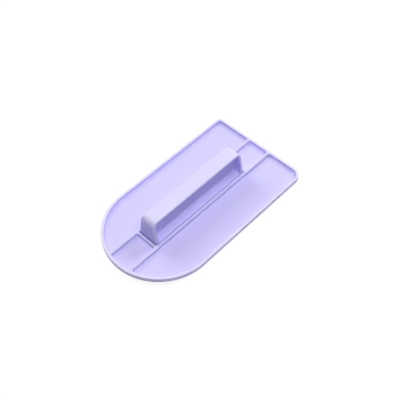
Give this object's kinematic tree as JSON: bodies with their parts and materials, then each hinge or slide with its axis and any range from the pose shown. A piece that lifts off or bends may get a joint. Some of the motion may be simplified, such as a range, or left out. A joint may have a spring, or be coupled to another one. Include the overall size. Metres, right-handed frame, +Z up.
{
  "type": "icing smoother",
  "caption": "Flat D-shaped icing smoother with a raised rim and stiffening ribs on its back, and a long grip with a finger recess along each side.",
  "frame": {"origin": "on the smoothing face, under the middle of the plate's length and width", "axes": "+X along the plate towards its square end, +Y across it, +Z up from the smoothing face through the grip"},
  "size_m": [0.15, 0.0852, 0.024],
  "materials": {
    "plate_plastic": "satin moulded, pale lilac, with a smooth polished face below",
    "grip_plastic": "satin moulded, pale lilac"
  },
  "bodies": {
    "root": {"smoothing_plate": "plate_plastic", "grip": "grip_plastic"}
  },
  "joints": []
}
